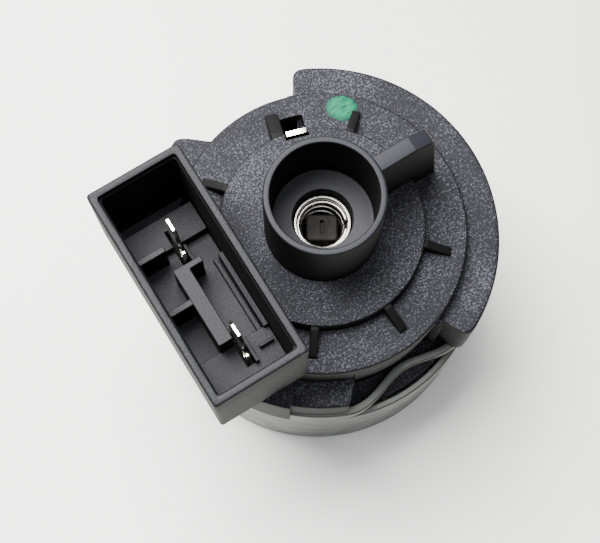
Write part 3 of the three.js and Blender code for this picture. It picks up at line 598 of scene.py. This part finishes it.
def cover_steps():
    """Section j at angle i: inside RING_R the section is the same all round; outside it each point's
    radius is RING_R + share * (edge - RING_R), where share runs from 0 at the second step's wall to 1 at
    the flange's. The inner side follows the steps THICK below them. Near the latch each angle is scaled
    so that two columns run parallel, and the faces between them give way to the window's four walls."""
    corners = [np.arange(d - 1.0, d + 6.2, 0.25) for d in (-73, 67)]
    slopes = [np.arange(-116, -108, 0.5), np.arange(104, 116, 0.5)]
    breaks = (LOW_TO, LOW_FROM, -FLANGE_END, FLANGE_END, -LUG_END, LUG_END)
    close = [LATCH_AT - WINDOW_TURN, LATCH_AT + WINDOW_TURN] + [b + d for b in breaks for d in (-0.01, 0.01)]
    a = np.unique(np.round(np.concatenate([np.arange(-180, 180, 2.0), *corners, *slopes, close]), 3))
    edge = cover_edge(a)
    behind = np.where(a > 0, (a > LUG_END) & (a < EAR_FROM), (a < -LUG_END) & (a > LOW_FROM))
    drop = np.where(behind, LEDGE_TOP - 0.4, RIM + 0.05)
    top = np.where((a > LOW_TO) & (a < LOW_FROM), SHOULDER_TOP, FLANGE_TOP)
    tops = rounded([(START_R, DISC_TOP, 0), (WINDOW[0], DISC_TOP, 0), (DISC_R, DISC_TOP, 0.28),
                    (DISC_R, RING_TOP, 0.22), (WINDOW[1], RING_TOP, 0), (RING_R, RING_TOP, 0.35),
                    (RING_R - 0.02, FLANGE_TOP + 0.02, 0)], 5, closed=False)
    share = np.array([0.02, 0.55, 0.86, 0.94, 0.985, 1.0, 1.0, 1.0])
    down = np.array([0.0, 0.0, 0.0, 0.05, 0.2, 0.5, 1.2, 99.0])
    r_out = RING_R + share[None, :] * (edge - RING_R)[:, None]
    r_out[:, -1] -= np.where(behind, 0.65, 0.0)                  # the wall behind a strip leans inwards
    room = np.minimum((edge - RING_R) / 0.6, 1)[:, None]
    z_out = np.where(down[None, :] > 50, drop[:, None], top[:, None] - down[None, :] * room)
    r_in = np.repeat(tops[None, :, 0], len(a), 0)
    z_in = np.repeat(tops[None, :, 1], len(a), 0)
    z_in[:, -1] = top + 0.02
    under = [(RING_R - THICK - 0.02, RING_TOP - THICK), (WINDOW[1], RING_TOP - THICK),
             (WINDOW[0], RING_TOP - THICK), (DISC_R - THICK, RING_TOP - THICK),
             (DISC_R - THICK, DISC_TOP - THICK), (START_R, DISC_TOP - THICK)]
    level = np.ones_like(a)
    r_back = np.stack([r_out[:, -1] - THICK, np.maximum(edge - THICK, RING_R - THICK),
                       (RING_R - THICK - 0.02) * level] + [q[0] * level for q in under], 1)
    z_back = np.stack([drop, top - THICK, top - THICK] + [q[1] * level for q in under], 1)
    r, z = np.concatenate([r_in, r_out, r_back], 1), np.concatenate([z_in, z_out, z_back], 1)
    side = np.degrees(np.arcsin(WINDOW_HALF / np.clip(r, *WINDOW))) / WINDOW_TURN
    side += (1 - side) * np.clip((r - WINDOW[1]) / 2.0, 0, 1)
    off = a[:, None] - LATCH_AT
    rad = np.radians(LATCH_AT + off * np.where(np.abs(off) <= WINDOW_TURN + 1e-6, side, 1))
    points = np.stack([r * np.cos(rad), r * np.sin(rad), z], -1)
    n, m = r.shape
    # the section crosses each end of the window twice, on the top and on the underside
    t0, u1 = np.flatnonzero(np.abs(r[0] - WINDOW[0]) < 1e-6)
    t1, u0 = np.flatnonzero(np.abs(r[0] - WINDOW[1]) < 1e-6)
    c0, c1 = (int(np.argmin(np.abs(off[:, 0] - w))) for w in (-WINDOW_TURN, WINDOW_TURN))
    faces = grid_faces(n, m).reshape(n, m, 4)
    keep = np.ones((n, m), bool)
    keep[c0:c1, t0:t1] = keep[c0:c1, u0:u1] = False
    i = np.arange(c0, c1) * m
    ends = np.concatenate([np.stack([i + t0, i + m + t0, i + m + u1, i + u1], 1),
                           np.stack([i + m + t1, i + t1, i + u0, i + m + u0], 1)])
    wall = np.r_[np.arange(t1, t0 - 1, -1), np.arange(u1, u0 - 1, -1)]
    sides = [(c0 * m + wall).tolist(), (c1 * m + wall)[::-1].tolist()]
    return points.reshape(-1, 3), faces[keep].tolist() + ends.tolist() + sides


def ledge():
    """The flat ring inside the can that the strips press on: a rectangle carried round the axis."""
    inner, outer, under = 15.5, CAN_R - 1.2, LEDGE_TOP - 0.9
    sec = rounded([(inner, under, 0), (outer, under, 0.1), (outer, LEDGE_TOP, 0.15), (inner, LEDGE_TOP, 0)])
    return solid_grid(carried_round(sec, np.arange(0, 360, 3.0)))


def cut_out(ob, *cutters):
    """Cuts closed shapes out of a piece with Blender's exact boolean and keeps the result as its mesh."""
    for shape in cutters:
        v, f = gather(shape)
        me = bpy.data.meshes.new("cutter")
        me.from_pydata((v * MM).tolist(), [], f)
        tool = bpy.data.objects.new("cutter", me)
        bpy.context.collection.objects.link(tool)
        mod = ob.modifiers.new("cut", "BOOLEAN")
        mod.operation, mod.solver, mod.object = "DIFFERENCE", "EXACT", tool
        mod.use_hole_tolerant = True
        bpy.context.view_layer.update()
        made = bpy.data.meshes.new_from_object(ob.evaluated_get(bpy.context.evaluated_depsgraph_get()))
        ob.modifiers.clear()
        ob.data = made
        bpy.data.objects.remove(tool)
    ob.data.shade_smooth()
    ob.data.set_sharp_from_angle(angle=SHARP)


steps = piece("cover_steps", cover_steps(), "housing", "end_cover", coat(NYLON, flat_faces))
inner_ring = piece("cover_ledge", ledge(), "housing", "end_cover", coat(NYLON, flat_faces))

# %% [markdown]
# ## The valve collar and its ribs
# The collar is a thin cup that slides over the valve body's neck. Its floor has
# a bored boss for the push rod. It is a lathe section: the rim, the floor's
# corner and the bore's edge each keep their own radius. The support arm, the
# five gussets and the block beside the latch window are flat ribs standing on
# edge, so each is an outline given a thickness.

# %% Collar, arm and gussets
COLLAR_R, COLLAR_IN, FLOOR_Z, BORE_R = 7.35, 6.49, RIM + 17.1, 3.75


def collar():
    """One closed (radius, height) section of wall, floor and boss, turned round the axis."""
    sec = rounded([(BORE_R, FLOOR_Z, 0.18), (COLLAR_IN, FLOOR_Z, 0.4), (COLLAR_IN, TOP, 0.2),
                   (COLLAR_R, TOP, 0.28), (COLLAR_R, DISC_TOP - 2.6, 0), (5.5, DISC_TOP - 2.6, 0),
                   (5.5, RIM + 0.2, 0.2), (BORE_R, RIM + 0.2, 0.2)], 6)
    return solid_grid(carried_round(sec, np.arange(0, 360, 2.5)))


def gusset(at, thick, shift=0.0):
    """A rib that falls from the centre disc's height to the second step's edge."""
    side = [(DISC_R - 0.6, RING_TOP - 0.4, 0), (DISC_R - 0.6, DISC_TOP - 0.22, 0),
            (DISC_R + 0.4, DISC_TOP - 0.3, 0.5), (RING_R - 2.1, RING_TOP + 0.55, 0.35),
            (RING_R - 1.9, RING_TOP - 0.4, 0)]
    return upright(rounded(side, 4), thick, at, shift, edge=0.16)


arm_profile = rounded([(COLLAR_IN + 0.3, RING_TOP - 0.4, 0), (COLLAR_IN + 0.3, TOP - 0.5, 0),
                       (12.2, TOP - 0.5, 0.3), (14.7, TOP - 1.4, 0.5), (15.15, TOP - 2.5, 0.6),
                       (RING_R - 2.0, RING_TOP - 0.4, 0)], 4)
arm = piece("collar_arm", upright(arm_profile, 2.2, 0, shift=0.1, edge=0.25), "housing", "end_cover",
            coat(NYLON_SMOOTH, flat_faces))
guard = gusset(LATCH_AT, 1.7, 2.4)           # the thick block beside the latch window
rib_parts = gather(guard, *(gusset(at, 1.1) for at in (42, 126, -42, -84, -126)))
# with no spark attribute the gussets take the wall colour all over, which is painted shade
ribs = piece("cover_gussets", rib_parts, "housing", "end_cover", coat(NYLON_SMOOTH))
neck = piece("valve_collar", collar(), "housing", "end_cover", coat(NYLON_SMOOTH, flat_faces))

# %% [markdown]
# ## The plug socket
# The socket is a deep open box with thin walls. Its surface is a stack of
# rounded rectangles: up the outside, over the rim and down to the floor. Each
# level is one loop, so the whole box is a grid. The rim of the outer wall is
# chipped from handling, which a slow irregular wave on that one edge gives.

# %% Socket shell
SKT_IN_X, SKT_OUT_X, SKT_Y = -11.3, -23.8, 14.65
WALL, SKT_FLOOR = 1.2, TOP - 14.3


def rectangle(inset, radius, per_side=40, arc=5):
    """Loop of a rounded rectangle inset from the socket's outside. Every loop has the same number of points."""
    x0, x1, y = SKT_OUT_X + inset, SKT_IN_X - inset, SKT_Y - inset
    t = np.linspace(0, np.pi / 2, arc)
    out = []
    centres = ((x1 - radius, y - radius), (x0 + radius, y - radius), (x0 + radius, -y + radius),
               (x1 - radius, -y + radius))
    for start, (cx, cy) in enumerate(centres):
        q = t + start * np.pi / 2
        out.append(np.c_[cx + radius * np.cos(q), cy + radius * np.sin(q)])
    loop = []
    for k in range(4):
        a, b = out[k][-1], out[(k + 1) % 4][0]
        s = np.linspace(0, 1, per_side + 2)[1:-1, None]
        loop += [out[k], a * (1 - s) + b * s]
    return np.concatenate(loop)


def socket_shell():
    """Loop i is a rounded rectangle inset by d at height z; d and z follow the wall's section with
    its rounded rim. The outer wall's rim is moved down by 0.14 mm and in by 0.10 mm times a wave."""
    curve = [(0.3 - 0.3 * np.cos(t), TOP - 0.3 + 0.3 * np.sin(t)) for t in np.linspace(0, np.pi / 2, 5)]
    path = [(0, RING_TOP - 0.9), (0, TOP - 6)] + curve
    path += [(WALL - 0.45, TOP), (WALL - 0.28, TOP - 0.06), (WALL - 0.22, TOP - 0.2),
             (WALL - 0.2, TOP - 0.75), (WALL - 0.02, TOP - 0.9), (WALL, TOP - 1.1), (WALL, TOP - 6),
             (WALL + 0.03, SKT_FLOOR + 0.3), (WALL + 0.3, SKT_FLOOR - 0.6)]
    loops = []
    for inset, z in path:
        loop = rectangle(inset, 0.4)
        loops.append(np.c_[loop, np.full(len(loop), z)])
    v = np.stack(loops)
    y = v[0, :, 1].copy()
    near_wall = np.clip(1 - np.abs(v[:, :, 0] - SKT_OUT_X) / 0.9, 0, 1)
    near = near_wall * np.clip((v[:, :, 2] - TOP + 0.35) / 0.35, 0, 1)
    chip = np.clip(ring_noise(y * 0.9, 11, 14, 0.4), -0.2, 1.2)
    v[:, :, 2] -= near * 0.14 * chip[None, :]
    v[:, :, 0] += near * 0.10 * np.clip(ring_noise(y * 1.7, 12, 10, 0.3), 0, 1)[None, :]
    n, m = v.shape[:2]
    ends = [list(range(m))[::-1], [(n - 1) * m + k for k in range(m)]]
    return v.reshape(-1, 3), grid_faces(n, m, wrap_u=False).tolist() + ends


socket = piece("plug_socket", socket_shell(), "housing", "end_cover", coat(NYLON_SOCKET, flat_faces))

# %% [markdown]
# ## The terminal carrier and its blades
# Inside the socket a carrier holds two flat blades. It has a platform at each
# end, a T-shaped wall with two cross ribs that key the plug, small blocks beside
# the blades, and two rails. These are short prisms with soft edges, all from one
# outline function. The slots round the blades are notches in those outlines, so
# they stay dark.

# %% Carrier and blades
PIN_X, PINS = -16.9, (7.5, -7.5)
CX0, CX1 = SKT_OUT_X + WALL + 0.1, SKT_IN_X - WALL - 0.1
SLOT0, SLOT1 = PIN_X - 0.55, PIN_X + 0.55
BASE_Z = SKT_FLOOR + 0.05


def block(x0, x1, y0, y1, z0, z1, edge=0.12, corner=0.2):
    """A rectangle with rounded corners, raised, with rounded edges."""
    outline = [(x0, y0, corner), (x1, y0, corner), (x1, y1, corner), (x0, y1, corner)]
    return slab(rounded(outline, 3), z0, z1, edge)


def notched(y0, y1, cuts, z0, z1):
    """A carrier plate from y0 to y1. Each cut is (edge, depth) of a blade slot that opens on the
    side y = edge."""
    low = [(CX0, y0), (CX1, y0)]
    high = [(CX1, y1), (CX0, y1)]
    for edge, depth in cuts:
        if edge == y0:
            low[1:1] = [(SLOT0, y0), (SLOT0, depth), (SLOT1, depth), (SLOT1, y0)]
        else:
            high[1:1] = [(SLOT1, y1), (SLOT1, depth), (SLOT0, depth), (SLOT0, y1)]
    return slab(np.array(low + high), z0, z1, 0.12)


stem_top = BASE_Z + 7.45
T_WALL = [(-19.4, -7.6), (-17.45, -7.6), (-17.45, 2.4), (-15.6, 2.4), (-15.6, 3.2), (-19.4, 3.2)]
carrier_parts = [
    notched(-7.4, 7.0, [(-7.4, -5.75), (7.0, 4.3)], BASE_Z, BASE_Z + 1.05),
    notched(7.0, 11.2, [(7.0, 9.25)], BASE_Z, BASE_Z + 2.7),
    notched(-SKT_Y + WALL + 0.1, -7.4, [(-7.4, -10.7)], BASE_Z, BASE_Z + 2.7),
    slab(rounded([(x, y, 0.15) for x, y in T_WALL], 3), BASE_Z + 0.5, stem_top, 0.12),
    block(CX0, -18.8, 5.8, 6.6, BASE_Z + 0.5, stem_top - 0.1),
    block(CX0, -18.6, -1.6, -0.8, BASE_Z + 0.5, stem_top - 0.1),
    block(SLOT1, SLOT1 + 0.5, 3.6, 6.9, BASE_Z + 0.5, BASE_Z + 2.0, 0.08, 0.05),
    block(SLOT1, SLOT1 + 0.5, -10.9, -7.6, BASE_Z + 2.0, BASE_Z + 3.9, 0.08, 0.05),
    block(-15.0, -13.0, -9.6, -9.2, BASE_Z + 2.0, BASE_Z + 3.6, 0.08, 0.05),
    block(-15.0, -13.0, -12.4, -12.0, BASE_Z + 2.0, BASE_Z + 3.6, 0.08, 0.05),
    block(CX1 - 1.5, CX1 - 0.9, -7.6, 3.2, BASE_Z + 0.5, BASE_Z + 2.2, 0.08, 0.05),
    block(CX1 - 0.7, CX1, -7.6, 3.2, BASE_Z + 0.5, BASE_Z + 3.6, 0.08, 0.05),
]
carrier = piece("terminal_carrier_moulding", gather(*carrier_parts), "housing", "terminal_carrier",
                coat(NYLON_SOCKET, flat_faces))


def blade(y):
    """The blade's outline in the plane across the socket, 0.5 mm thick, with a chamfered tip, and
    its side post."""
    tip, foot, low = TOP - 3.9, SKT_FLOOR + 0.9, RIM + 0.15
    flat = [(-1.4, foot), (-1.4, tip - 0.85), (-0.8, tip), (0.8, tip), (1.4, tip - 0.85),
            (1.4, foot - 3.5), (0.75, foot - 3.5), (0.75, low), (-0.75, low), (-0.75, foot - 3.5),
            (-2.65, foot - 3.5), (-2.65, foot + 3.6), (-2.4, foot + 3.85), (-2.1, foot + 3.85),
            (-1.85, foot + 3.6), (-1.85, foot)]
    v, f = slab(np.array(flat), -0.25, 0.25, 0.09)
    return np.c_[PIN_X + v[:, 2], y + v[:, 0], v[:, 1]], f


for name, y in zip("ab", PINS):
    piece("blade_" + name, blade(y), "housing", "terminal_blade_" + name, coat(TIN))

# %% [markdown]
# ## Bush, snap ring, spring and push rod
# In the collar's floor a turned steel bush guides the push rod. A round-wire
# ring sits in its groove and holds the spring. A wire is a circle carried along
# a path, so the ring and the spring use one function. The spring gets shorter
# as the rod comes out; here it is one fixed coil that rides with the housing.

# %% Turned and wound steel, and the rod
ROD_TIP = FLOOR_Z - 4.1
SNAP_Z = ROD_TIP + 0.75
BUSH_R, BUSH_IN = 3.65, 3.2


def wire(path, radius, n=10):
    """A circle of n points carried along a path on the unit frame (side, up) across its
    tangent; round ends close it."""
    t = np.gradient(path, axis=0)
    t /= np.linalg.norm(t, axis=1)[:, None]
    side = np.cross(t, [0, 0, 1.0])
    side /= np.linalg.norm(side, axis=1)[:, None]
    up = np.cross(side, t)
    cap = np.linspace(np.pi / 2, 0.15, 4)
    reach = np.r_[-np.sin(cap), np.zeros(len(path) - 2), np.sin(cap[::-1])] * radius
    size = np.r_[np.cos(cap), np.ones(len(path) - 2), np.cos(cap[::-1])] * radius
    k = np.r_[np.zeros(4, int), np.arange(1, len(path) - 1), np.full(4, len(path) - 1)]
    w = np.linspace(0, 2 * np.pi, n, endpoint=False)
    ring = side[k][:, None] * np.cos(w)[None, :, None] + up[k][:, None] * np.sin(w)[None, :, None]
    pts = (path[k] + t[k] * reach[:, None])[:, None] + ring * size[:, None, None]
    m, rows = n, len(k)
    ends = [list(range(m)), [(rows - 1) * m + q for q in range(m)][::-1]]
    return pts.reshape(-1, 3), grid_faces(rows, m, wrap_u=False).tolist() + ends


bush_section = rounded([(BUSH_IN, RIM + 0.15, 0), (BUSH_R, RIM + 0.15, 0.1), (BUSH_R, FLOOR_Z - 1.9, 0.14),
                        (BUSH_IN, FLOOR_Z - 1.9, 0.12), (BUSH_IN, SNAP_Z + 0.7, 0),
                        (BUSH_IN + 0.22, SNAP_Z + 0.7, 0), (BUSH_IN + 0.22, SNAP_Z - 0.1, 0),
                        (BUSH_IN, SNAP_Z - 0.1, 0)], 4)
bush_shape = solid_grid(carried_round(bush_section, np.arange(0, 360, 3.0)))
bush = piece("bush_turned", bush_shape, "housing", "front_bush", coat(BUSH_STEEL))
# the ring's gap is 24 degrees wide and faces -30 degrees
gap = np.radians(np.linspace(-30 + 12, -30 + 348, 73))
ring_path = np.c_[3.05 * np.cos(gap), 3.05 * np.sin(gap), np.full(73, SNAP_Z + 0.3)]
ring = piece("snap_ring_wire", wire(ring_path, 0.3), "housing", "snap_ring", coat(WIRE_STEEL))

s0, s1, TURNS, WIRE_D = RIM + 1.39, SNAP_Z - 0.24, 7, 0.36
u = np.linspace(0, TURNS, TURNS * 36 + 1)
closed_ends = 0.42 * (np.clip(u / 0.8, 0, 1) + np.clip((u - TURNS + 0.8) / 0.8, 0, 1))
rise = np.clip((u - 0.8) / (TURNS - 1.6), 0, 1) * (s1 - s0 - 0.84) + closed_ends
turns = u * 2 * np.pi + np.radians(-28)
coil = wire(np.c_[2.8 * np.cos(turns), 2.8 * np.sin(turns), s0 + rise], WIRE_D / 2, 8)
spring = piece("spring_coil", coil, "housing", "return_spring", coat(WIRE_STEEL))
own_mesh(spring)


ROD_TURN = -32


def push_rod():
    """A rounded rectangle 4.1 by 3.6 mm turned by ROD_TURN and raised, with a shoulder disc under the
    spring."""
    sec = rounded([(2.05, 1.8, 0.6), (-2.05, 1.8, 0.6), (-2.05, -1.8, 0.6), (2.05, -1.8, 0.6)], 6)
    v, f = slab(sec, 12.4, ROD_TIP, 0.28, 4)
    low, high = RIM + 0.15, RIM + 1.15
    shoulder = rounded([(0.02, low, 0), (2.95, low, 0.15), (2.95, high, 0.15), (0.02, high, 0)], 4)
    return gather((turn(v, ROD_TURN), f), solid_grid(carried_round(shoulder, np.arange(0, 360, 5.0))))


rod = piece("rod_moulding", push_rod(), "spindle", "push_rod")
slot_outline = rounded([(0.27, 1.0, 0.2), (-0.27, 1.0, 0.2), (-0.27, -1.0, 0.2), (0.27, -1.0, 0.2)], 4)
slot_v, slot_f = slab(slot_outline, ROD_TIP - 0.7, ROD_TIP + 1, 0.05)
cut_out(rod, (turn(slot_v, ROD_TURN), slot_f))
coat(BROWN)(rod)


def lead_screw():
    """Radius at (angle, height) is 1.38 + 0.12 w, where w is 1.6 cos(2 pi z / 1 mm - 2 angle) kept
    between -1 and 1: two starts, each with a 2 mm lead. The radius narrows at both ends."""
    a, z = np.radians(np.arange(0, 360, 10.0)), np.linspace(2.0, 12.3, 150)
    r = 1.38 + 0.12 * np.clip(1.6 * np.cos(2 * np.pi * z[None, :] - 2 * a[:, None]), -1, 1)
    r = r * np.clip(np.minimum(z - 1.9, 12.45 - z) / 0.35 + 0.45, 0, 1)[None, :]
    pts = np.stack([r * np.cos(a)[:, None], r * np.sin(a)[:, None], z[None, :] + 0 * a[:, None]], -1)
    stub = rounded([(0.02, 11.5, 0), (1.0, 11.5, 0), (1.0, 17.0, 0.2), (0.02, 17.0, 0)], 3)
    n, m = pts.shape[:2]
    ends = [[k * m for k in range(n)], [k * m + m - 1 for k in range(n)][::-1]]
    faces = grid_faces(n, m, wrap_v=False).tolist() + ends
    return gather((pts.reshape(-1, 3), faces), solid_grid(carried_round(stub, np.arange(0, 360, 15.0))))


screw = piece("screw_thread", lead_screw(), "spindle", "lead_screw", coat(BUSH_STEEL))

# %% [markdown]
# ## The latch strip and the paint mark
# A steel strip comes up through the window at the centre disc's edge; its foot
# stands on the stator. Beside a gusset sits the assembler's dab of turquoise
# paint, a thin lens with a ragged edge.

# %% Latch and paint
LATCH_FOOT, LATCH_W = RIM - 3.4, 2.8         # height of the foot's underside, and the strip's width
strip = upright([(LATCH_R, LATCH_FOOT), (LATCH_R + 0.65, LATCH_FOOT), (LATCH_R + 0.65, DISC_TOP + 0.1),
                 (LATCH_R, DISC_TOP + 0.1)], LATCH_W, LATCH_AT)
foot = upright([(LATCH_R, LATCH_FOOT), (LATCH_R + 3.2, LATCH_FOOT), (LATCH_R + 3.2, RIM - 2.8),
                (LATCH_R, RIM - 2.8)], LATCH_W, LATCH_AT)
latch = piece("latch_strip", gather(strip, foot), "housing", "cover_latch", coat(TIN))


MARK_AT, MARK_R, MARK_HALF = 49, 16.85, (1.75, 2.0)


def paint_mark():
    """A disc of rings: at angle w the edge is at MARK_HALF * (cos w, sin w) * (1 + noise), and the skin is
    0.02 + 0.15 (1 - s^3) (1 + brush ridges) mm thick at share s."""
    w, s = np.linspace(0, 2 * np.pi, 96, endpoint=False), np.linspace(0.02, 1, 14)
    reach = 1 + 0.10 * ring_noise(w, 21, 9, 0.7) + 0.05 * ring_noise(w * 5, 22, 6, 0.3)
    x = s[None, :] * (reach * MARK_HALF[0] * np.cos(w))[:, None]
    y = s[None, :] * (reach * MARK_HALF[1] * np.sin(w))[:, None]
    top = 0.02 + 0.15 * (1 - s[None, :] ** 3) * (1 + 0.25 * np.sin(3.1 * y + 0.6 * x))
    upper = np.stack([x + MARK_R, y, RING_TOP + top], -1)
    lower = np.stack([x + MARK_R, y, RING_TOP - 0.02 + 0 * x], -1)[:, ::-1]
    pts = np.concatenate([upper, lower], 1)
    rr = np.hypot(pts[..., 0], pts[..., 1])
    pts[..., :2] *= np.minimum(1, (RING_R - 0.12) / rr)[..., None]
    return turn(pts, MARK_AT), grid_faces(*pts.shape[:2])


def thin_edge(ob):
    """Gives the paint and its attribute thin: (s - 0.75) / 0.3, kept between 0 and 1, where s is the share
    of the way from the mark's middle to its edge."""
    coat(PAINT)(ob)
    co = np.zeros(len(ob.data.vertices) * 3)
    ob.data.vertices.foreach_get("co", co)
    co = turn(co.reshape(-1, 3) / MM, -MARK_AT)
    s = np.hypot((co[:, 0] - MARK_R) / MARK_HALF[0], co[:, 1] / MARK_HALF[1])
    thin = np.clip((s - 0.75) / 0.3, 0, 1).astype(np.float32)
    ob.data.attributes.new("thin", "FLOAT", "POINT").data.foreach_set("value", thin)


mark = piece("paint_mark", paint_mark(), "housing", (), thin_edge)

# %% [markdown]
# ## The inside of the motor
# The stator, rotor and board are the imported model's own solids. Their shapes
# are already right and they only show when the head is opened, so they keep
# their meshes and get the finish of the real material.

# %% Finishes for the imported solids
INSIDE = {
    IRON: ("pole_plate_bottom", "pole_plate_mid_lower", "pole_plate_mid_upper", "pole_plate_top"),
    ACETAL: ("bobbin_lower", "bobbin_upper", "rotor_hub", "guide_plate", "bleed_resistor"),
    COPPER: ("coil_lower", "coil_upper", "coil_lead_1", "coil_lead_2", "coil_lead_3", "coil_lead_4"),
    BRASS: ("rear_bush", "rotor_nut"),
    WIRE_STEEL: ("thrust_washer", "wave_washer"),
    FERRITE: ("rotor_magnet",),
    BOARD: ("circuit_board",),
    FILM: ("run_capacitor",),
}
for mat, names in INSIDE.items():
    for name in names:
        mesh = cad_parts[name].data
        mesh.materials.clear()
        mesh.materials.append(mat)
print("%d packed solids finished" % sum(map(len, INSIDE.values())))

# %% [markdown]
# ## The floor
# A pale matt sheet under the head catches its soft shadow. Its colour also
# carries painted shade, darker towards the view's right.

# %% Floor, sizes and finish
floor_mat, t, s = finish("paper_matt_painted_shade")
at = add(t, "TexCoord").outputs["Object"]
n = add(t, "TexNoise", {"Vector": at, "Scale": grain(40.0), "Detail": 3.0})
# painted shade: the floor colour darkens along +x, mostly the view's right, in place of light falling off; the
# noise adds random tone
near = add(t, "VectorMath", {0: at, 1: (6.5, -1.5, 0.0)}, operation="DOT_PRODUCT")
drift = add(t, "Math", {0: n.outputs["Fac"], 1: 0.3, 2: near.outputs["Value"]}, operation="MULTIPLY_ADD")
c = add(t, "Mix", {"Factor": drift.outputs[0], 6: srgb("#f6f6f4"), 7: srgb("#b9b8b3")}, data_type="RGBA")
t.links.new(c.outputs[2], s.inputs["Base Color"])
s.inputs["Roughness"].default_value = 0.8
me = bpy.data.meshes.new("floor")
half, z = 0.8, -0.0002                       # metres; just under the can, so the two don't flicker
me.from_pydata([(-half, -half, z), (half, -half, z), (half, half, z), (-half, half, z)], [], [(0, 1, 2, 3)])
me.materials.append(floor_mat)
floor = bpy.data.objects.new("floor", me)
bpy.context.collection.objects.link(floor)
